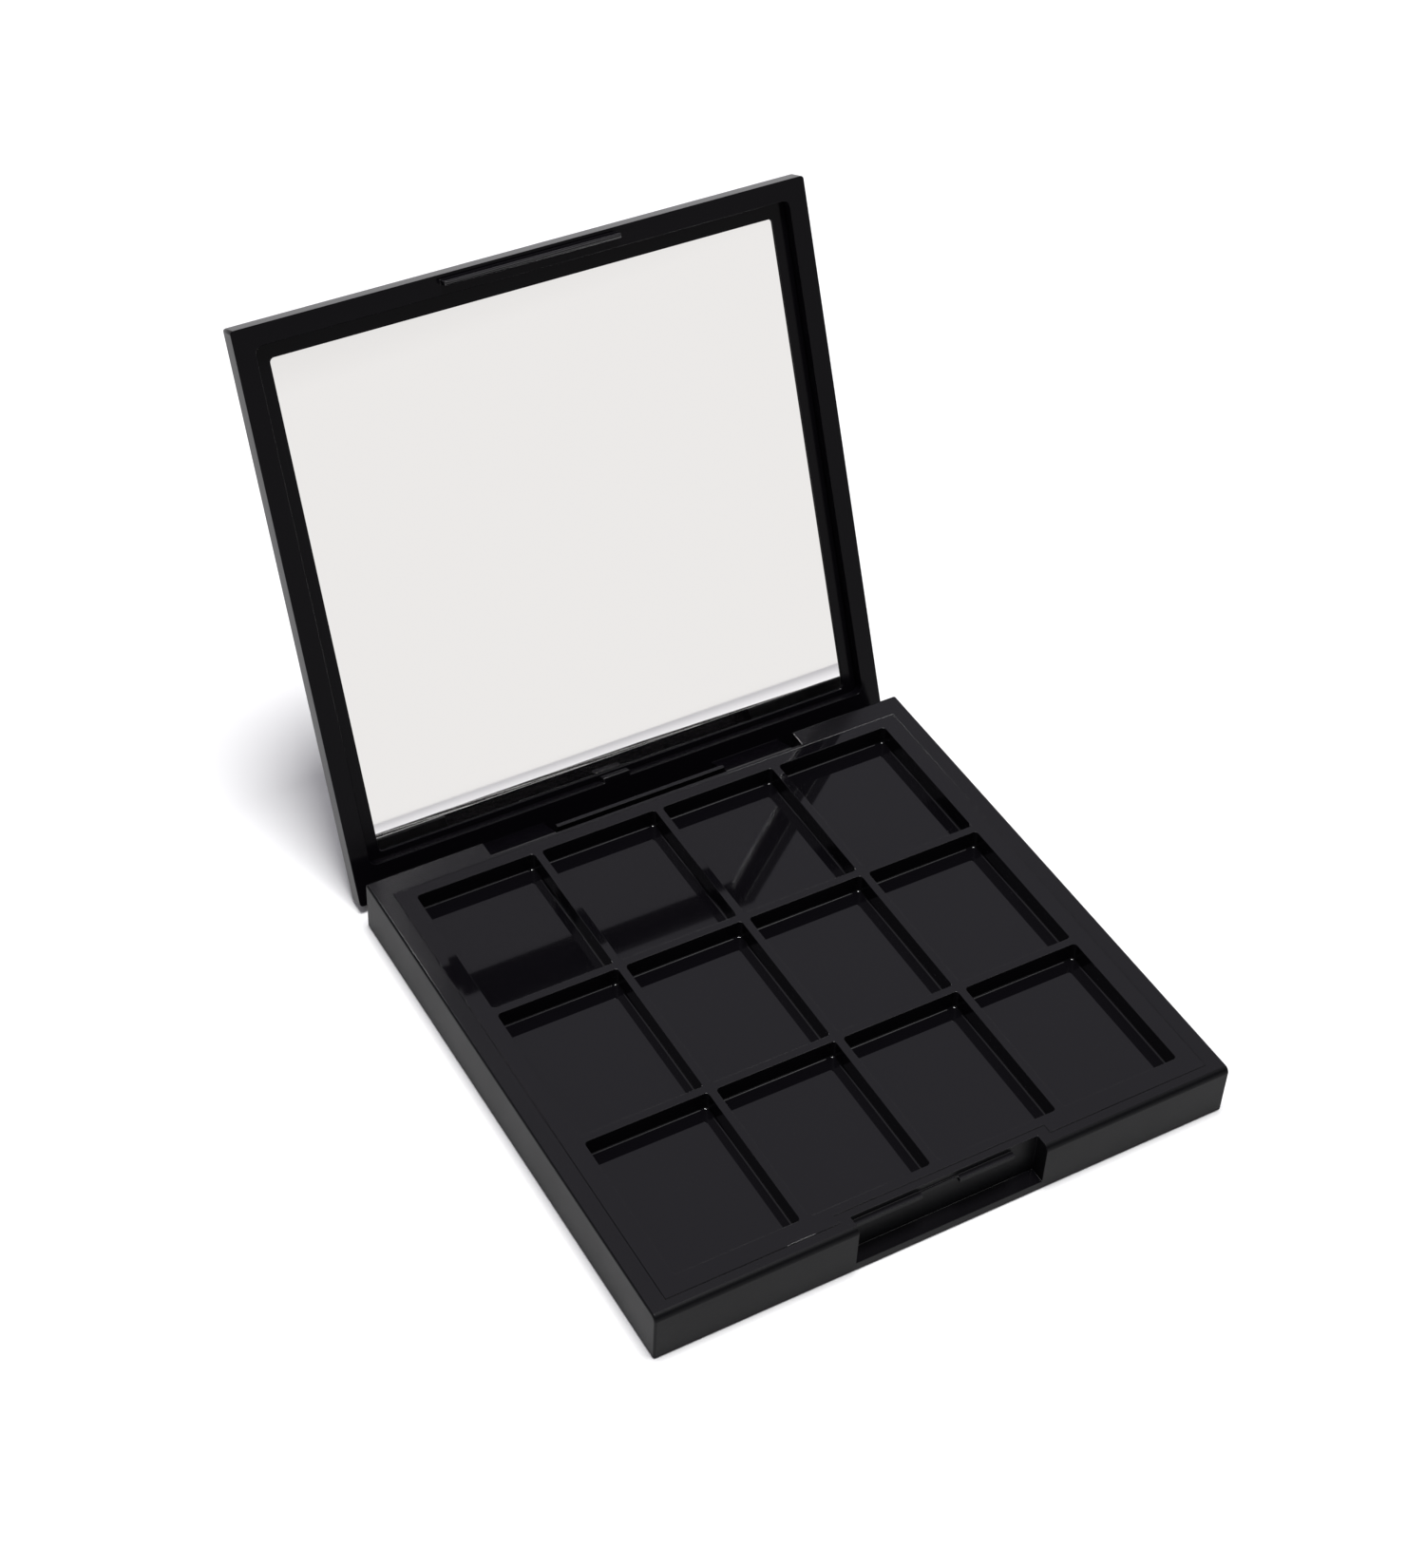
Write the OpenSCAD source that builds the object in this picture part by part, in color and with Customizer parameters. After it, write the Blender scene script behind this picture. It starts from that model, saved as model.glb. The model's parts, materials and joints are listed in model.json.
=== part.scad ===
// Eyeshadow palette: a black moulded compact with twelve empty rectangular wells
// and a mirror in its lid. The origin is the centre of the base's underside, +Z is
// up, +X runs along the hinge and +Y points to the hinge side. The lid is drawn open.

/* [Case] */
// Width along the hinge
case_w = 110; // [100:1:130]
// Depth from the front face to the back face
case_d = 106; // [100:1:125]
// Height of the base
case_h = 10.4; // [9.8:0.1:12]
// Thickness of the base's floor
floor_t = 1.2; // [0.8:0.1:1.6]
// Radius of the upright corners
corner_r = 0.6; // [0.3:0.1:1.5]
// Radius along the front top edge of the base
front_edge_r = 1.2; // [0.5:0.1:1.5]

/* [Wells] */
// Number of wells side by side
well_cols = 4; // [2:1:5]
// Number of rows of wells
well_rows = 3; // [2:1:4]
// Width of one well
well_w = 23.05; // [14:0.05:24]
// Depth of one well from front to back
well_l = 30; // [18:0.5:30]
// How deep a well is below the tray's face
well_deep = 3.7; // [2:0.1:4.5]
// Thickness of the ribs between wells
rib_t = 1.5; // [1:0.1:2.5]
// Radius of a well's upright corners
well_corner_r = 0.7; // [0.3:0.1:2]

/* [Tray] */
// Width of the base's rim beside the tray
rim_side = 3.25; // [2.8:0.05:5]
// Width of the base's rim in front of the tray
rim_front = 2.6; // [2.2:0.1:3]
// Distance from the back face to the tray
rim_back = 4.5; // [4.3:0.1:6]
// Gap round the tray
tray_gap = 0.05; // [0.05:0.01:0.2]
// How far the tray stands above the rim
tray_proud = 0.05; // [0:0.01:0.1]

/* [Lid] */
// Thickness of the lid
lid_t = 5.2; // [5:0.1:6]
// Gap between the closed lid and the base
lid_gap = 0.25; // [0.22:0.01:0.4]
// How far the lid stands open
open_angle = 113; // [95:1:113]
// Bevel round the lid's outer face
lid_bevel = 1.6; // [0.8:0.1:1.8]
// Width of the mirror's border at the sides
mirror_side = 6.4; // [6:0.1:9]
// Width of the mirror's border at the latch edge
mirror_front = 6.6; // [6.4:0.1:9]
// Width of the mirror's border at the hinge edge
mirror_back = 8; // [7.8:0.1:10]
// Step from the lid's rim down to the mirror frame
frame_step = 2.2; // [1.6:0.1:2.3]
// Thickness of the mirror
mirror_t = 1.4; // [1:0.1:1.4]

/* [Hinge] */
// Distance from the pin's centre to the back face
pin_inset = 1.5; // [1.4:0.1:1.8]
// Height of the pin's centre above the underside
pin_z = 5.3; // [5.2:0.1:6.4]
// Diameter of a hinge pin
pin_d = 1.2; // [1:0.1:1.4]
// Radius of a hinge knuckle
knuckle_r = 2.1; // [1.8:0.1:2.1]
// Width of a hinge knuckle
knuckle_w = 14.25; // [8:0.25:16]
// Outer half width of the hinge notches
notch_x = 32.2; // [30:0.1:36]

/* [Latch] */
// Width of the thumb recess
thumb_w = 36; // [24:1:38]
// Depth of the thumb recess from the front face
thumb_d = 3; // [2.5:0.1:3.2]
// Width of the latch rib on the lid
latch_w = 34; // [20:1:34]
// How far the latch rib stands out of the lid
latch_reach = 2.05; // [1.5:0.05:2.2]

/* [Hidden] */
$fn = 48;

plastic = "#1b1b1e";
plastic_dark = "#141416";
silver = "#e6e8ea";
steel = "#b9bcc0";
tape_white = "#e9e6dc";
over = 1; // how far a cutting shape runs past what it cuts

front_y = -case_d / 2;
back_y = case_d / 2;
lid_z = case_h + lid_gap;          // the closed lid's inner face
lid_top = lid_z + lid_t;
pin_y = back_y - pin_inset;
pin_r = pin_d / 2;
knuckle_play = 0.04;               // radial gap of a pin in its knuckle
socket_play = 0.01;                // radial gap of a pin in the base

// Tray and wells
tray_x = case_w / 2 - rim_side;
tray_y0 = front_y + rim_front;
tray_y1 = back_y - rim_back;
tray_top = case_h + tray_proud;
tray_floor_t = 1;
tray_skin_z = tray_top - well_deep - tray_floor_t;
skirt_t = 1.4;
field_w = well_cols * well_w + (well_cols - 1) * rib_t;
field_l = well_rows * well_l + (well_rows - 1) * rib_t;
wells_back = 0.4;                  // share of the tray's spare length behind the wells
field_y0 = tray_y0 + (tray_y1 - tray_y0 - field_l) * (1 - wells_back);
jog_x = 20.2;                      // half width of the step in the tray's front edge
jog_d = 1.8;
support_t = 1;                     // ribs under the tray
rib_clear = 0.3;

// Snap barbs that hold the tray
barb_w = 6;
barb_h = 1;
barb_reach = 0.35;
barb_z = 3.2;
barb_y = 26;
barb_room = 0.2;

// Thumb recess and catch lip
thumb_floor = 1.9;
lip_reach = 1.05;
lip_h = 0.8;
lip_top = case_h - 1.1;
lip_short = 5;                     // the lip stops this far from the recess's right end
relief_x0 = -4.8;
relief_w = 7.1;
relief_d = 0.7;

// Hinge notches in the base
notch_gap = 0.25;
notch_y = pin_y - knuckle_r - notch_gap;
knuckle_x1 = notch_x - notch_gap;
knuckle_x0 = knuckle_x1 - knuckle_w;
wall_gap = 0.3;
wall_x = knuckle_x0 - wall_gap;    // half width of the low wall between the notches
wall_t = 0.8;
wall_top = case_h - 2.1;

// The arm of a knuckle slopes from the knuckle's back to the lid's back edge. Turned to
// the open angle it comes to rest on a ledge in the notch, whose height follows from the
// slope: arm_face is the slope's outward normal in Y and Z, closed and then opened.
arm_run = lid_z - pin_z;
arm_taper = knuckle_r - pin_inset;
arm_face = [arm_run, arm_taper] / norm([arm_run, arm_taper]);
arm_open = [arm_face[0] * cos(open_angle) + arm_face[1] * sin(open_angle),
            arm_face[1] * cos(open_angle) - arm_face[0] * sin(open_angle)];
stop_gap = 0.05;
stop_reach = (arm_face[0] * knuckle_r + stop_gap - arm_open[0] * pin_inset) / -arm_open[1];
stop_z = pin_z - max(stop_reach, knuckle_r + notch_gap);
back_chamfer = 0.5;
socket_len = 6;
pin_end_gap = 0.1;

// Lid
lid_skin = 1.1;
tape_t = 0.1;
mirror_z = lid_top - lid_skin - tape_t - mirror_t;
tape_z = mirror_z + mirror_t;
tape_inset = 2;                    // the sheet is cut smaller than the mirror all round
lid_rim_side = 3.6;
lid_rim_front = 3.6;
lid_rim_back = 6.9;
frame_x = case_w / 2 - lid_rim_side;
frame_y0 = front_y + lid_rim_front;
frame_y1 = back_y - lid_rim_back;
frame_gap = 0.05;
frame_r = 1.4;
glass_x = case_w / 2 - mirror_side;
glass_y0 = front_y + mirror_front;
glass_y1 = back_y - mirror_back;
glass_r = 0.8;
glass_lap = 0.5;                   // how far the mirror runs under its frame
glass_play = 0.1;
latch_t = 0.9;
latch_y = front_y + 0.85;
latch_root = 0.5;                  // how far the rib is sunk into the rim
tab_x0 = -4.4;                     // small tab that holds the frame at the hinge side
tab_w = 5.4;
tab_l = 1;
tab_t = 1.6;

// A rectangle from corner to corner with round corners
module plate2(x0, y0, x1, y1, r) {
    translate([x0 + r, y0]) square([x1 - x0 - 2 * r, y1 - y0]);
    translate([x0, y0 + r]) square([x1 - x0, y1 - y0 - 2 * r]);
    for (x = [x0 + r, x1 - r], y = [y0 + r, y1 - r]) translate([x, y]) circle(r);
}

module plate(x0, y0, z0, x1, y1, z1, r) {
    translate([0, 0, z0]) linear_extrude(z1 - z0) plate2(x0, y0, x1, y1, r);
}

module block(x0, y0, z0, x1, y1, z1) {
    translate([x0, y0, z0]) cube([x1 - x0, y1 - y0, z1 - z0]);
}

// Extrudes an outline drawn in Y and Z along X
module along_x(x0, x1) {
    translate([x0, 0, 0]) rotate([90, 0, 90]) linear_extrude(x1 - x0) children();
}

module rod(x0, x1, r) {
    translate([x0, pin_y, pin_z]) rotate([0, 90, 0]) cylinder(h = x1 - x0, r = r);
}

// Turns the lid's pieces from closed to open about the pins
module opened() {
    translate([0, pin_y, pin_z]) rotate([-open_angle, 0, 0]) translate([0, -pin_y, -pin_z]) children();
}

module both_sides() {
    children();
    mirror([1, 0, 0]) children();
}

// The base's side view: round along the front top edge, chamfered along the back one
module base_side_view() {
    r = front_edge_r;
    c = back_chamfer;
    translate([front_y, 0]) square([case_d, case_h - r]);
    translate([front_y + r, 0]) square([case_d - r - c, case_h]);
    translate([front_y + r, case_h - r]) circle(r);
    polygon([[back_y - c - over, 0], [back_y, 0], [back_y, case_h - c],
             [back_y - c, case_h], [back_y - c - over, case_h]]);
}

module base_body() {
    intersection() {
        along_x(-case_w / 2, case_w / 2) base_side_view();
        plate(-case_w / 2, front_y, 0, case_w / 2, back_y, case_h, corner_r);
    }
}

module tray_pocket() {
    difference() {
        block(-tray_x, tray_y0, floor_t, tray_x, tray_y1, case_h + over);
        block(-jog_x, front_y, 0, jog_x, tray_y0 + jog_d, case_h + over);
    }
}

module thumb_cut() {
    difference() {
        block(-thumb_w / 2, front_y - over, thumb_floor, thumb_w / 2, front_y + thumb_d, case_h + over);
        difference() {
            block(-thumb_w / 2 - over, front_y + thumb_d - lip_reach, lip_top - lip_h,
                  thumb_w / 2 - lip_short, front_y + thumb_d + over, lip_top);
            block(relief_x0, front_y, 0, relief_x0 + relief_w,
                  front_y + thumb_d - lip_reach + relief_d, case_h);
        }
    }
}

module hinge_cut() {
    both_sides() block(wall_x, notch_y, stop_z, notch_x, back_y + over, case_h + over);
    block(-wall_x - over, notch_y, floor_t, wall_x + over, back_y - wall_t, case_h + over);
    block(-wall_x - over, back_y - wall_t - over, wall_top, wall_x + over, back_y + over, case_h + over);
}

module barb_pockets() {
    both_sides() for (y = [-barb_y, barb_y])
        block(tray_x - over, y - barb_w / 2 - barb_room, barb_z - barb_room,
              tray_x + barb_reach + barb_room, y + barb_w / 2 + barb_room, barb_z + barb_h + barb_room);
}

// Ribs on the base's floor that carry the tray between its skirts
module support_ribs() {
    clear = skirt_t + rib_clear;
    for (i = [1 : well_cols - 1]) {
        x = -field_w / 2 + i * (well_w + rib_t) - rib_t / 2;
        block(x - support_t / 2, tray_y0 + jog_d + clear, floor_t,
              x + support_t / 2, tray_y1 - clear, tray_skin_z);
    }
    for (j = [1 : well_rows - 1]) {
        y = field_y0 + j * (well_l + rib_t) - rib_t / 2;
        block(-tray_x + clear, y - support_t / 2, floor_t, tray_x - clear, y + support_t / 2, tray_skin_z);
    }
}

module base_case() color(plastic) {
    difference() {
        base_body();
        tray_pocket();
        thumb_cut();
        hinge_cut();
        barb_pockets();
        both_sides() rod(notch_x - over, notch_x + socket_len, pin_r + socket_play);
    }
    support_ribs();
}

module tray_outline(inset) {
    difference() {
        translate([-tray_x + inset, tray_y0 + inset])
            square([2 * (tray_x - inset), tray_y1 - tray_y0 - 2 * inset]);
        translate([-jog_x - inset, tray_y0 - over])
            square([2 * (jog_x + inset), jog_d + inset + over]);
    }
}

module wells() {
    for (i = [0 : well_cols - 1], j = [0 : well_rows - 1]) {
        x = -field_w / 2 + i * (well_w + rib_t);
        y = field_y0 + j * (well_l + rib_t);
        plate(x, y, tray_top - well_deep, x + well_w, y + well_l, tray_top + over, well_corner_r);
    }
}

module pan_tray() color(plastic_dark) {
    difference() {
        translate([0, 0, floor_t]) linear_extrude(tray_top - floor_t) tray_outline(tray_gap);
        linear_extrude(tray_skin_z) tray_outline(tray_gap + skirt_t);
        wells();
    }
    both_sides() for (y = [-barb_y, barb_y])
        block(tray_x - skirt_t / 2, y - barb_w / 2, barb_z,
              tray_x + barb_reach, y + barb_w / 2, barb_z + barb_h);
}

// A slab with its outer edge bevelled, built from its front view and its side view
module lid_slab() {
    b = lid_bevel;
    intersection() {
        along_x(-case_w / 2, case_w / 2)
            polygon([[front_y, lid_z], [back_y, lid_z], [back_y, lid_top - b], [back_y - b, lid_top],
                     [front_y + b, lid_top], [front_y, lid_top - b]]);
        translate([0, back_y, 0]) rotate([90, 0, 0]) linear_extrude(case_d)
            polygon([[-case_w / 2, lid_z], [case_w / 2, lid_z], [case_w / 2, lid_top - b],
                     [case_w / 2 - b, lid_top], [-case_w / 2 + b, lid_top], [-case_w / 2, lid_top - b]]);
        plate(-case_w / 2, front_y, lid_z, case_w / 2, back_y, lid_top, corner_r);
    }
}

// Side view of one knuckle with the arm that joins it to the lid
module knuckle_side_view() {
    translate([pin_y, pin_z]) circle(knuckle_r);
    polygon([[pin_y - knuckle_r, pin_z], [pin_y + knuckle_r, pin_z],
             [back_y, lid_z], [back_y, lid_z + frame_step], [frame_y1, lid_z + frame_step],
             [frame_y1, lid_z], [pin_y - knuckle_r, lid_z]]);
}

module lid_cover() color(plastic) opened() {
    difference() {
        union() {
            difference() {
                lid_slab();
                plate(-frame_x, frame_y0, lid_z - over, frame_x, frame_y1, lid_top - lid_skin, frame_r);
            }
            both_sides() along_x(knuckle_x0, knuckle_x1) knuckle_side_view();
        }
        both_sides() rod(knuckle_x0 - over, knuckle_x1 + over, pin_r + knuckle_play);
    }
    block(-latch_w / 2, latch_y, lid_z - latch_reach, latch_w / 2, latch_y + latch_t, lid_z + latch_root);
    block(tab_x0, frame_y1 - tab_l, lid_z, tab_x0 + tab_w, frame_y1 + latch_root, lid_z + tab_t);
}

module mirror_frame() color(plastic_dark) opened() difference() {
    plate(-frame_x + frame_gap, frame_y0 + frame_gap, lid_z + frame_step,
          frame_x - frame_gap, frame_y1 - frame_gap, lid_top - lid_skin, frame_r);
    plate(-glass_x, glass_y0, lid_z, glass_x, glass_y1, lid_top, glass_r);
    plate(-glass_x - glass_lap - glass_play, glass_y0 - glass_lap - glass_play, mirror_z,
          glass_x + glass_lap + glass_play, glass_y1 + glass_lap + glass_play, lid_top, glass_r);
}

module mirror_plate(z0, z1, shrink) {
    plate(-glass_x - glass_lap + shrink, glass_y0 - glass_lap + shrink, z0,
          glass_x + glass_lap - shrink, glass_y1 + glass_lap - shrink, z1, glass_r);
}

module mirror_glass() color(silver) opened() mirror_plate(mirror_z, tape_z, 0);

module mirror_tape() color(tape_white) opened() mirror_plate(tape_z, tape_z + tape_t, tape_inset);

module hinge_pin() rod(knuckle_x0 + pin_end_gap, notch_x + socket_len - pin_end_gap, pin_r);

module hinge_pin_left() color(steel) mirror([1, 0, 0]) hinge_pin();

module hinge_pin_right() color(steel) hinge_pin();

base_case();
pan_tray();
lid_cover();
mirror_frame();
mirror_glass();  // mirror
mirror_tape();
hinge_pin_left();
hinge_pin_right();
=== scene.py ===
"""An empty eyeshadow palette in black moulded ABS, open, with a mirror in its lid.

The lower case is modelled from a block. The tray, the lid and the mirror frame are
copies of the frame's nodes with the rounded edges that a mould leaves. The mirror,
its tape and the pins keep the shapes they come with. Every piece gets its finish.
The palette is given in millimetres, which MM turns into metres, and the floor and
the lights are given in metres.
"""
import json
import math

import bmesh
import bpy
from mathutils import Euler, Matrix, Vector

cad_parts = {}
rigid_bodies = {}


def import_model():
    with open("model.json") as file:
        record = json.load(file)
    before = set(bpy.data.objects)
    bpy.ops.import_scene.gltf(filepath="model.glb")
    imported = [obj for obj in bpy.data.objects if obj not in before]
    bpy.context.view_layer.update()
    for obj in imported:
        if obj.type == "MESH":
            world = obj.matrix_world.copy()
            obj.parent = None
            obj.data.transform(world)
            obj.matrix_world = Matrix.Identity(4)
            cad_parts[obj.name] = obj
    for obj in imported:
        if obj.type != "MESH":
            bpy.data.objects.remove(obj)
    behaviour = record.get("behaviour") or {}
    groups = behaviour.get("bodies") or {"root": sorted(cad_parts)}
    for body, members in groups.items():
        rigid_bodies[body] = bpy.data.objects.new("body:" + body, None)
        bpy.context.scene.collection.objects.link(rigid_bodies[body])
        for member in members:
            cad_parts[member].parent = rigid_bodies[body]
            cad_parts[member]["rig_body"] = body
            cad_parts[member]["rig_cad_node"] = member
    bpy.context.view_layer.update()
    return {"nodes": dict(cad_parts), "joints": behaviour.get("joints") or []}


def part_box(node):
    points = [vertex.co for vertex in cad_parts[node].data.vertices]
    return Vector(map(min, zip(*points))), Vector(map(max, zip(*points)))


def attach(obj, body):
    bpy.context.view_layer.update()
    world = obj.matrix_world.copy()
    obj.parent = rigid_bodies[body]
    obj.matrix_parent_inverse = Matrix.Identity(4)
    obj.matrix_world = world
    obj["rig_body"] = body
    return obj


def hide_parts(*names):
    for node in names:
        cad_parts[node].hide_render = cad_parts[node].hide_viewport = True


MM = 0.001
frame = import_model()

TRAY_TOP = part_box("pan_tray")[1].z
HINGE = frame["joints"][0]
PIN_POINT = Vector(HINGE["pos_m"])
CLOSING_ANGLE = math.radians(HINGE["range_deg"][1])
# Turns a point of the open lid to its place in the closed one
CLOSING = (
    Matrix.Translation(PIN_POINT)
    @ Matrix.Rotation(CLOSING_ANGLE, 4, Vector(HINGE["axis"]))
    @ Matrix.Translation(-PIN_POINT)
)


# ---------------------------------------------------------------- mesh helpers

MERGE_GAP = 0.002 * MM              # points closer than this are one point
FLAT_ANGLE = math.radians(0.5)      # faces this close in angle are one flat face
SHARP_ANGLE = math.radians(30)      # edges above this angle can be rounded
SMOOTH_ANGLE = math.radians(35)     # the shading breaks at edges above this angle


def only(piece):
    """Selects this piece alone and makes it the active one."""
    bpy.ops.object.select_all(action="DESELECT")
    piece.select_set(True)
    bpy.context.view_layer.objects.active = piece


def join_flats(piece):
    """Merges the doubles and joins the flat faces that lie in pieces."""
    only(piece)
    bpy.ops.object.mode_set(mode="EDIT")
    bpy.ops.mesh.select_all(action="SELECT")
    bpy.ops.mesh.remove_doubles(threshold=MERGE_GAP)
    bpy.ops.mesh.dissolve_limited(angle_limit=FLAT_ANGLE)
    bpy.ops.object.mode_set(mode="OBJECT")


def moulding(node, name):
    """A copy of a node of the frame, with its loose triangles joined."""
    source = frame["nodes"][node]
    piece = source.copy()
    piece.data = source.data.copy()
    piece.name = piece.data.name = name
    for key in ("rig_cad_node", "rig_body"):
        del piece[key]
    piece.parent = None
    bpy.context.scene.collection.objects.link(piece)
    piece.data.materials.clear()
    join_flats(piece)
    return piece


def sharp(edge):
    """True for an edge where two faces meet at a clear angle."""
    return len(edge.link_faces) == 2 and edge.calc_face_angle() > SHARP_ANGLE


def middle(edge):
    return (edge.verts[0].co + edge.verts[1].co) / 2


def near(a, b, room=0.02 * MM):
    return abs(a - b) < room


def round_edges(piece, width, segments, pick):
    """Bevels the sharp edges that pick chooses, by a width in millimetres."""
    only(piece)
    bpy.ops.object.mode_set(mode="EDIT")
    bpy.ops.mesh.select_mode(type="EDGE")
    bpy.ops.mesh.select_all(action="DESELECT")
    mesh = bmesh.from_edit_mesh(piece.data)
    for edge in mesh.edges:
        if sharp(edge) and pick(edge):
            edge.select_set(True)
    bmesh.update_edit_mesh(piece.data)
    bpy.ops.mesh.bevel(
        offset=width * MM, segments=segments, profile=0.5, affect="EDGES",
        offset_type="OFFSET", miter_outer="SHARP", clamp_overlap=False)
    bpy.ops.object.mode_set(mode="OBJECT")


def finish_surface(piece):
    """Smooth shading over the rounds, with the flat faces kept flat."""
    only(piece)
    bpy.ops.object.shade_smooth_by_angle(angle=SMOOTH_ANGLE)
    weighted = piece.modifiers.new("flat_faces", "WEIGHTED_NORMAL")
    weighted.mode = "FACE_AREA"
    weighted.weight = 100
    weighted.keep_sharp = True
    bpy.ops.object.modifier_apply(modifier=weighted.name)


def stand_for(piece, node, body):
    """The piece takes its node's place on the body, and the node is hidden."""
    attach(piece, body)
    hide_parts(node)


# ---------------------------------------------------------------- materials

def linear(code, alpha=1.0):
    """A hex sRGB colour as the linear values that the shader takes."""
    values = [int(code[i:i + 2], 16) / 255 for i in (1, 3, 5)]
    return [v / 12.92 if v <= 0.04045 else ((v + 0.055) / 1.055) ** 2.4 for v in values] + [alpha]


def add(tree, kind, settings=None, links=None):
    """One node with its properties and sockets set, and its inputs linked."""
    made = tree.nodes.new(kind)
    for key, value in (settings or {}).items():
        if hasattr(made, key):
            setattr(made, key, value)
        else:
            made.inputs[key].default_value = value
    for key, source in (links or {}).items():
        tree.links.new(source, made.inputs[key])
    return made


def blank(name):
    """A new material with a shader and its output, and Object coordinates."""
    material = bpy.data.materials.new(name)
    material.use_nodes = True
    tree = material.node_tree
    tree.nodes.clear()
    shader = add(tree, "ShaderNodeBsdfPrincipled")
    add(tree, "ShaderNodeOutputMaterial", links={"Surface": shader.outputs[0]})
    place = add(tree, "ShaderNodeTexCoord").outputs["Object"]
    return material, tree, shader, place


def per_mm(size_mm):
    """The scale of a pattern whose features are size_mm across."""
    return 1 / (size_mm * MM)


ABS_IOR = 1.53
HANDLING_MM = 14                    # soft patches that handling leaves in the sheen
RIPPLE_DEPTH = 0.02 * MM
GRAIN_DEPTH = 0.03 * MM


def black_abs(name, colour, roughness, gloss, ripple_mm, ripple, grain_mm=0, grain=0):
    """Injection-moulded black ABS: a near-black body under a thin plastic sheen."""
    material, tree, shader, place = blank(name)
    shader.inputs["Base Color"].default_value = linear(colour)
    shader.inputs["IOR"].default_value = ABS_IOR
    shader.inputs["Specular IOR Level"].default_value = gloss
    # Handling leaves the sheen uneven in soft patches a centimetre or so across
    patches = add(tree, "ShaderNodeTexNoise",
                  {"Scale": per_mm(HANDLING_MM), "Detail": 4.0}, {"Vector": place})
    spread = add(tree, "ShaderNodeMapRange",
                 {"To Min": roughness * 0.85, "To Max": roughness * 1.15},
                 {"Value": patches.outputs[0]})
    tree.links.new(spread.outputs[0], shader.inputs["Roughness"])
    # The melt cools with a faint waviness, and a textured mould adds its grain
    wave = add(tree, "ShaderNodeTexNoise",
               {"Scale": per_mm(ripple_mm), "Detail": 2.0}, {"Vector": place})
    bump = add(tree, "ShaderNodeBump", {"Strength": ripple, "Distance": RIPPLE_DEPTH},
               {"Height": wave.outputs[0]})
    if grain:
        fine = add(tree, "ShaderNodeTexNoise",
                   {"Scale": per_mm(grain_mm), "Detail": 3.0}, {"Vector": place})
        bump = add(tree, "ShaderNodeBump", {"Strength": grain, "Distance": GRAIN_DEPTH},
                   {"Height": fine.outputs[0], "Normal": bump.outputs[0]})
    tree.links.new(bump.outputs[0], shader.inputs["Normal"])
    return material


def silvered_glass():
    """A silvered glass plate: a clean mirror with a trace of warmth."""
    material, tree, shader, place = blank("silvered_glass")
    shader.inputs["Base Color"].default_value = linear("#f7f6f5")
    shader.inputs["Metallic"].default_value = 1.0
    # A film in patches a few centimetres across, almost too faint to see
    haze = add(tree, "ShaderNodeTexNoise", {"Scale": per_mm(30), "Detail": 3.0},
               {"Vector": place})
    spread = add(tree, "ShaderNodeMapRange", {"To Min": 0.008, "To Max": 0.02},
                 {"Value": haze.outputs[0]})
    tree.links.new(spread.outputs[0], shader.inputs["Roughness"])
    return material


def drawn_steel():
    """Drawn stainless wire: the die leaves fine lines along the pin."""
    material, tree, shader, place = blank("drawn_stainless_steel")
    shader.inputs["Base Color"].default_value = linear("#c3c4c6")
    shader.inputs["Metallic"].default_value = 1.0
    along = add(tree, "ShaderNodeMapping", {"Scale": (0.02, 1, 1)}, {"Vector": place})
    lines = add(tree, "ShaderNodeTexNoise", {"Scale": per_mm(0.08), "Detail": 2.0},
                {"Vector": along.outputs[0]})
    spread = add(tree, "ShaderNodeMapRange", {"To Min": 0.22, "To Max": 0.38},
                 {"Value": lines.outputs[0]})
    tree.links.new(spread.outputs[0], shader.inputs["Roughness"])
    return material


def tissue_tape():
    """Double-sided tissue tape: matte off-white fibres in a clear adhesive."""
    material, tree, shader, place = blank("tissue_tape")
    shader.inputs["Roughness"].default_value = 0.75
    fibres = add(tree, "ShaderNodeTexNoise", {"Scale": per_mm(0.6), "Detail": 6.0},
                 {"Vector": place})
    tone = add(tree, "ShaderNodeMix", {"data_type": "RGBA"}, {"Factor": fibres.outputs[0]})
    tone.inputs["A"].default_value = linear("#e9e5da")
    tone.inputs["B"].default_value = linear("#d6d1c3")
    tree.links.new(tone.outputs["Result"], shader.inputs["Base Color"])
    return material


# Satin, for the rim and pocket of the case and the lid's latch rib and tab
ABS_RIM = black_abs(
    "abs_satin_rim", "#0a090c", roughness=0.2, gloss=0.42, ripple_mm=9, ripple=0.25)
# Polished, so that the floors of the wells reflect the lid sharply
ABS_TRAY = black_abs(
    "abs_polished_tray", "#0a090c", roughness=0.035, gloss=0.48, ripple_mm=12, ripple=0.12)
# Fine-grained and dull, for the outside of the case and the lid
ABS_GRAINED = black_abs(
    "abs_grained_wall", "#08080a", roughness=0.42, gloss=0.08, ripple_mm=9, ripple=0.2,
    grain_mm=0.35, grain=0.5)
# Smooth but dark, for the lid's rim and side walls and the mirror frame
ABS_FRAME = black_abs(
    "abs_mirror_frame", "#070609", roughness=0.16, gloss=0.08, ripple_mm=10, ripple=0.2)
MIRROR = silvered_glass()
STEEL = drawn_steel()
TAPE = tissue_tape()


# ---------------------------------------------------------------- the mouldings

def paint(piece, plain, *others):
    """Gives the piece its material, and others to the faces that their picks choose."""
    piece.data.materials.append(plain)
    for index, (material, pick) in enumerate(others, start=1):
        piece.data.materials.append(material)
        for face in piece.data.polygons:
            if pick(face):
                face.material_index = index


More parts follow.
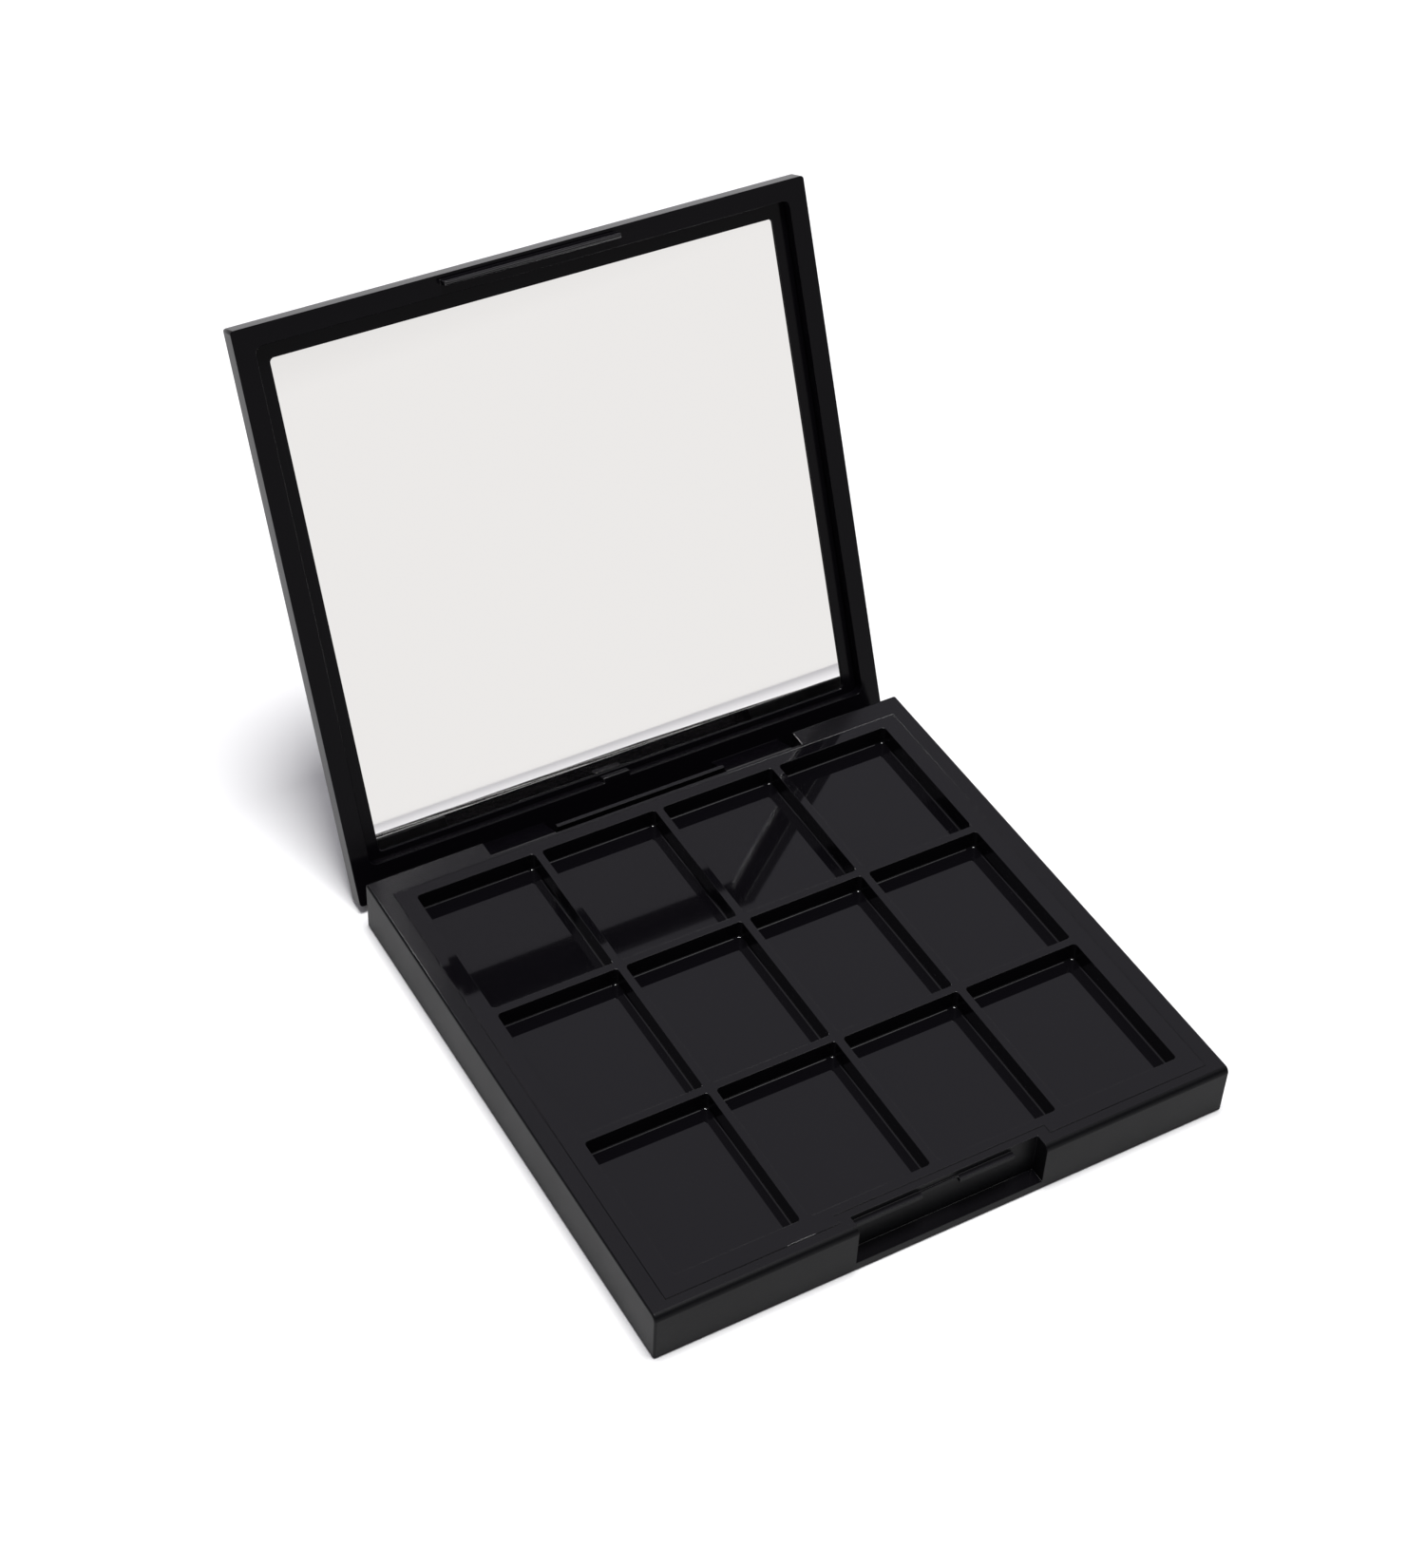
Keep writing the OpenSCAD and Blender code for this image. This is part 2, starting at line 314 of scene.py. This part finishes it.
def block(name, low, high):
    """A box from corner to corner, in millimetres, as the start of a piece."""
    bpy.ops.object.select_all(action="DESELECT")
    bpy.ops.mesh.primitive_cube_add(
        size=1, location=[(a + b) / 2 * MM for a, b in zip(low, high)])
    piece = bpy.context.object
    piece.name = piece.data.name = name
    piece.scale = [(b - a) * MM for a, b in zip(low, high)]
    bpy.ops.object.transform_apply(location=True, rotation=True, scale=True)
    return piece


def combine(piece, tool, operation):
    """Cuts the tool out of the piece, or welds it on, and takes the tool away."""
    only(piece)
    step = piece.modifiers.new("step", "BOOLEAN")
    step.object, step.operation, step.solver = tool, operation, "EXACT"
    bpy.ops.object.modifier_apply(modifier=step.name)
    bpy.data.objects.remove(tool)


def cut(piece, low, high):
    combine(piece, block("cutter", low, high), "DIFFERENCE")


def weld(piece, low, high):
    combine(piece, block("lump", low, high), "UNION")


def cut_bore(piece, x0, x1, y, z, radius):
    """A round hole along X, in millimetres."""
    bpy.ops.object.select_all(action="DESELECT")
    bpy.ops.mesh.primitive_cylinder_add(
        vertices=32, radius=radius * MM, depth=abs(x1 - x0) * MM,
        location=[(x0 + x1) / 2 * MM, y * MM, z * MM], rotation=(0, math.pi / 2, 0))
    bpy.ops.object.transform_apply(location=True, rotation=True, scale=True)
    combine(piece, bpy.context.object, "DIFFERENCE")


def make_base():
    """The lower shell: a block rounded outside, then pocketed, notched and ribbed."""
    x, front, back, top, floor = 55, -53, 53, 10.4, 1.2
    above = top + 1
    past = 0.1                      # how far a cut or a rib runs past a face
    room = 0.1                      # slack when a point is compared with a wall
    base = block("base_case_moulding", (-x, front, 0), (x, back, top))

    def upper(edge):
        return middle(edge).z > top / 2 * MM and near(middle(edge).x, 0)

    def lower(edge):
        return near(middle(edge).z, 0) and near(middle(edge).x, 0)

    round_edges(base, 1.2, 8, lambda e: upper(e) and middle(e).y < 0)
    round_edges(base, 0.5, 3, lambda e: upper(e) and middle(e).y > (back - 1) * MM)
    round_edges(base, 0.35, 3, lower)
    round_edges(base, 0.45, 4, lambda e: near(abs(middle(e).x), x * MM))

    # The pocket for the tray, with a step back in the middle of its front wall
    side, pocket_front, pocket_back, jog = 51.75, -50.4, 48.5, 20.2
    wall_back = pocket_front + 1.8
    cut(base, (-side, wall_back, floor), (side, pocket_back, above))
    for x0, x1 in ((-side, -jog), (jog, side)):
        cut(base, (x0, pocket_front, floor), (x1, wall_back + past, above))

    # Small pockets in the side walls for the tray's snap barbs
    barb_y, barb_half, barb_low, barb_high, barb_depth = 26, 3.2, 3, 4.4, 0.55
    for y in (-barb_y, barb_y):
        for sign in (-1, 1):
            x0, x1 = sorted((sign * (side - 1), sign * (side + barb_depth)))
            cut(base, (x0, y - barb_half, barb_low), (x1, y + barb_half, barb_high))

    # The notches for the knuckles, with the bores for the pins in their far walls
    notch, trough, notch_front, stop = 32.2, 17.4, 49.15, 2.62
    pin_y, pin_z, bore_radius, bore_depth = 51.5, 5.3, 0.61, 6
    for sign in (-1, 1):
        x0, x1 = sorted((sign * trough, sign * notch))
        cut(base, (x0, notch_front, stop), (x1, back + 1, above))
        cut_bore(base, sign * (notch - 1), sign * (notch + bore_depth),
                 pin_y, pin_z, bore_radius)

    # The trough between them, and its low back wall
    trough_back, low_wall = 52.2, 8.3
    end = trough + past
    cut(base, (-end, notch_front, floor), (end, trough_back, above))
    cut(base, (-end, 52, low_wall), (end, back + 1, above))

    # The thumb recess, and the lip under which the lid's rib catches
    thumb, thumb_back, thumb_floor = 18, -50, 1.9
    cut(base, (-thumb, front - 1, thumb_floor), (thumb, thumb_back, above))
    lip_left, lip_right, lip_front, lip_back = -18.2, 13, -51.05, -49.5
    lip_low, lip_high = 8.5, 9.3
    lip = block("catch_lip", (lip_left, lip_front, lip_low), (lip_right, lip_back, lip_high))
    # A shallow relief in the lip's front edge
    relief_left, relief_right, relief_back = -4.8, 2.3, -50.35
    cut(lip, (relief_left, lip_front - 1, lip_low - 1), (relief_right, relief_back, lip_high + 1))
    combine(base, lip, "UNION")

    # Ribs on the floor that carry the tray between its skirts, each under a rib of the wells
    well_width, well_length, well_rib, wells_middle = 23.05, 30, 1.5, -0.36
    rib_half, rib_top, skirt_room = 0.5, 5.75, 1.7
    column, row = well_width + well_rib, well_length + well_rib
    rib_front, rib_back, rib_side = wall_back + skirt_room, pocket_back - skirt_room, side - skirt_room
    for x0 in (-column, 0, column):
        weld(base, (x0 - rib_half, rib_front, floor - past), (x0 + rib_half, rib_back, rib_top))
    for y0 in (wells_middle - row / 2, wells_middle + row / 2):
        weld(base, (-rib_side, y0 - rib_half, floor - past), (rib_side, y0 + rib_half, rib_top))
    join_flats(base)

    def seen(edge):
        """Edges of the cuts that can be seen, on the rim, in the recess and at the hinge."""
        a, b = (v.co / MM for v in edge.verts)
        on_rim = near(a.z, top, 0.02) and near(b.z, top, 0.02)
        at_hinge = (min(a.y, b.y) > notch_front - room and max(a.z, b.z) > 2
                    and abs(a.x) < notch + room)
        at_thumb = (max(a.y, b.y) < thumb_back + room
                    and max(abs(a.x), abs(b.x)) < thumb + room)
        above_floor = min(a.z, b.z) > floor + 0.3
        return (on_rim or at_hinge or at_thumb) and above_floor

    round_edges(base, 0.08, 3, seen)
    finish_surface(base)

    def grained(face):
        """The outer walls, the walls of the thumb recess and the underside."""
        spot = face.center / MM
        outer = (near(abs(spot.x), x, 0.5) or near(spot.y, front, 1.25)
                 or near(spot.y, back, 0.5))
        recess = (spot.y < thumb_back + room and abs(spot.x) < thumb + room
                  and abs(face.normal.z) < 0.5)
        return face.normal.z < -0.5 or (face.normal.z < 0.97 and outer) or recess

    paint(base, ABS_RIM, (ABS_GRAINED, grained))
    stand_for(base, "base_case", "base")


def make_tray():
    """The insert with its 12 wells, filleted round each well's floor."""
    well_depth = 3.7
    tray = moulding("pan_tray", "pan_tray_moulding")
    well_floor = TRAY_TOP - well_depth * MM
    round_edges(tray, 0.3, 5, lambda e: all(near(v.co.z, well_floor) for v in e.verts))
    round_edges(tray, 0.08, 3, lambda e: near(middle(e).z, TRAY_TOP))
    finish_surface(tray)
    paint(tray, ABS_TRAY)
    stand_for(tray, "pan_tray", "base")


def make_lid():
    """The lid shell, with a round nose along its latch rib."""
    lid = moulding("lid_cover", "lid_cover_moulding")
    # Where the latch rib and the tab lie in the closed lid
    rib_back, tip_top, rib_top = -50, 8.7, 10.6
    tab_left, tab_right, tab_front, tab_back, tab_top = -4.5, 1.1, 45, 46.2, 12.4

    def rib_tip(edge):
        """The free end of the latch rib."""
        spot = (CLOSING @ middle(edge)) / MM
        return spot.y < rib_back and spot.z < tip_top

    round_edges(lid, 0.4, 4, rib_tip)
    round_edges(lid, 0.15, 3, lambda e: True)
    finish_surface(lid)
    turn = CLOSING.to_3x3()

    def grained(face):
        """The outside of the lid, over its bevelled edge."""
        return (turn @ face.normal).z > 0.3

    def satin(face):
        """The latch rib, and the tab over the mirror frame."""
        spot = (CLOSING @ face.center) / MM
        rib = spot.y < rib_back and spot.z < rib_top
        tab = (tab_left < spot.x < tab_right and tab_front < spot.y < tab_back
               and spot.z < tab_top)
        return rib or tab

    paint(lid, ABS_FRAME, (ABS_GRAINED, grained), (ABS_RIM, satin))
    stand_for(lid, "lid_cover", "lid")


def make_mirror_frame():
    """The bezel that holds the mirror's edge."""
    bezel = moulding("mirror_frame", "mirror_frame_moulding")
    round_edges(bezel, 0.15, 3, lambda e: True)
    finish_surface(bezel)
    paint(bezel, ABS_FRAME)
    stand_for(bezel, "mirror_frame", "lid")


def refinish(node, material):
    """A node whose shape is right keeps it and gets its real finish."""
    piece = frame["nodes"][node]
    piece.data.materials.clear()
    piece.data.materials.append(material)


make_base()
make_tray()
make_lid()
make_mirror_frame()
refinish("mirror", MIRROR)
refinish("mirror_tape", TAPE)
refinish("hinge_pin_left", STEEL)
refinish("hinge_pin_right", STEEL)


# ---------------------------------------------------------------- the studio

HORIZON = (0.9, 0.89, 0.885)
OVERHEAD = (0.37, 0.36, 0.4)
OPEN_FRONT = (0.05, 0.05, 0.055)


def make_floor():
    """A sheet of matte white paper, 6 metres square."""
    bpy.ops.object.select_all(action="DESELECT")
    bpy.ops.mesh.primitive_plane_add(size=6, location=(0, 0, 0))
    floor = bpy.context.object
    floor.name = "studio_floor"
    material, _, shader, _ = blank("matte_white_paper")
    shader.inputs["Base Color"].default_value = linear("#f9f9f9")
    shader.inputs["Roughness"].default_value = 0.9
    shader.inputs["Specular IOR Level"].default_value = 0.0
    floor.data.materials.append(material)


def make_world():
    """A light tent: bright low down all round, dimmer overhead, and open above the front."""
    world = bpy.data.worlds.new("light_tent")
    bpy.context.scene.world = world
    world.use_nodes = True
    tree = world.node_tree
    tree.nodes.clear()
    place = add(tree, "ShaderNodeTexCoord").outputs["Generated"]
    split = add(tree, "ShaderNodeSeparateXYZ", links={"Vector": place})
    high = add(tree, "ShaderNodeMapRange", {"From Min": 0.14, "From Max": 0.34},
               {"Value": split.outputs["Z"]})
    ahead = add(tree, "ShaderNodeMapRange", {"From Min": -0.5, "From Max": -0.1},
                {"Value": split.outputs["Y"]})
    roof = add(tree, "ShaderNodeMix", {"data_type": "RGBA"}, {"Factor": ahead.outputs[0]})
    roof.inputs["A"].default_value = (*OPEN_FRONT, 1)
    roof.inputs["B"].default_value = (*OVERHEAD, 1)
    whole = add(tree, "ShaderNodeMix", {"data_type": "RGBA"},
                {"Factor": high.outputs[0], "B": roof.outputs["Result"]})
    whole.inputs["A"].default_value = (*HORIZON, 1)
    back = add(tree, "ShaderNodeBackground", {"Strength": 1.0},
               {"Color": whole.outputs["Result"]})
    add(tree, "ShaderNodeOutputWorld", links={"Surface": back.outputs[0]})


def make_light(name, power, size, place, target):
    """A square softbox aimed at its target, in watts and metres."""
    light = bpy.data.lights.new(name, "AREA")
    light.energy = power
    light.shape = "RECTANGLE"
    light.size = light.size_y = size
    lamp = bpy.data.objects.new(name, light)
    lamp.location = place
    aim = Vector(target) - Vector(place)
    lamp.rotation_euler = aim.to_track_quat("-Z", "Y").to_euler()
    bpy.context.scene.collection.objects.link(lamp)


def make_camera():
    """A moderate telephoto from the front left, a little over 43 degrees up."""
    target = Vector((17.8, 56.8, 0)) * MM
    distance = 556 * MM
    azimuth, elevation, roll = math.radians(31.61), math.radians(43.18), math.radians(3.03)
    back = Vector((-math.sin(azimuth) * math.cos(elevation),
                   -math.cos(azimuth) * math.cos(elevation),
                   math.sin(elevation)))
    data = bpy.data.cameras.new("camera")
    data.sensor_width = 36
    data.lens = 67.8
    data.clip_start, data.clip_end = 0.01, 20
    camera = bpy.data.objects.new("camera", data)
    camera.location = target + back * distance
    camera.rotation_euler = (
        (-back).to_track_quat("-Z", "Y") @ Euler((0, 0, roll)).to_quaternion()
    ).to_euler()
    bpy.context.scene.collection.objects.link(camera)
    bpy.context.scene.camera = camera


make_floor()
make_world()
# High above, and clear of the directions that the mirror and the wells reflect
make_light("top_softbox", 90, 0.95, (0.0, -0.095, 3.04), (0.0, 0.0, 0.0))
# Small and to the front right, for the fine lines of light along rounded edges
make_light("right_softbox", 0.9, 0.35, (0.46, -0.36, 1.05), (0.0, 0.03, 0.0))
make_camera()
bpy.context.scene.view_settings.view_transform = "Standard"
